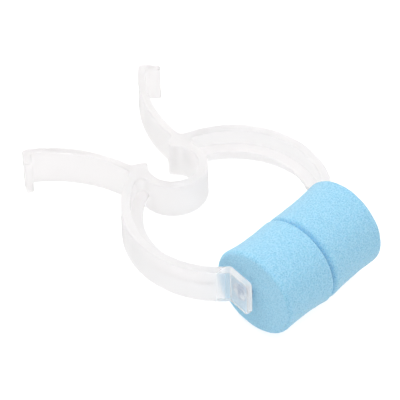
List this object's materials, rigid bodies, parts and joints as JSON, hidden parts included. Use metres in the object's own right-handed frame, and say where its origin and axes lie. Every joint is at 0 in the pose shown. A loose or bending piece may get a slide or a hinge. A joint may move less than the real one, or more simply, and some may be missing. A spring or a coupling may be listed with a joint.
{
  "type": "nose clip",
  "caption": "Sprung nose clip: a translucent plastic moulding with finger levers and curved jaws that close two round foam pads together.",
  "frame": {"origin": "gripping point between the two pads, on the moulding's mirror plane at half its height", "axes": "+X is the clamping direction, from the left pad to the right pad; +Y points from the pads to the finger levers; +Z is the direction the moulding's flat outline is extruded in"},
  "size_m": [0.0382, 0.0613, 0.017],
  "materials": {
    "moulding": "satin",
    "foam": "matte",
    "adhesive": "satin"
  },
  "bodies": {
    "bow": {"spring_bow": "moulding"},
    "left_limb": {"left_bow_limb": "moulding"},
    "right_limb": {"right_bow_limb": "moulding"},
    "left_arm": {"left_clamp_arm": "moulding", "left_adhesive_dab": "adhesive", "left_foam_pad": "foam"},
    "right_arm": {"right_clamp_arm": "moulding", "right_adhesive_dab": "adhesive", "right_foam_pad": "foam"}
  },
  "joints": [
    {"name": "left_bow_flex", "type": "hinge", "parent": "bow", "child": "left_limb", "pos_m": [-0.00211, 0.02603, 0], "axis": [0, 0, -1], "range_deg": [0, 13], "stiffness_Nm_per_rad": 0.01},
    {"name": "right_bow_flex", "type": "hinge", "parent": "bow", "child": "right_limb", "pos_m": [0.00211, 0.02603, 0], "axis": [0, 0, 1], "range_deg": [0, 13], "stiffness_Nm_per_rad": 0.01},
    {"name": "left_arm_flex", "type": "hinge", "parent": "left_limb", "child": "left_arm", "pos_m": [-0.0044, 0.02906, 0], "axis": [0, 0, -1], "range_deg": [0, 13], "stiffness_Nm_per_rad": 0.01},
    {"name": "right_arm_flex", "type": "hinge", "parent": "right_limb", "child": "right_arm", "pos_m": [0.0044, 0.02906, 0], "axis": [0, 0, 1], "range_deg": [0, 13], "stiffness_Nm_per_rad": 0.01}
  ],
  "couplings": [
    {"joint": "left_bow_flex", "follows": "right_arm_flex", "ratio": 1},
    {"joint": "right_bow_flex", "follows": "right_arm_flex", "ratio": 1},
    {"joint": "left_arm_flex", "follows": "right_arm_flex", "ratio": 1}
  ]
}
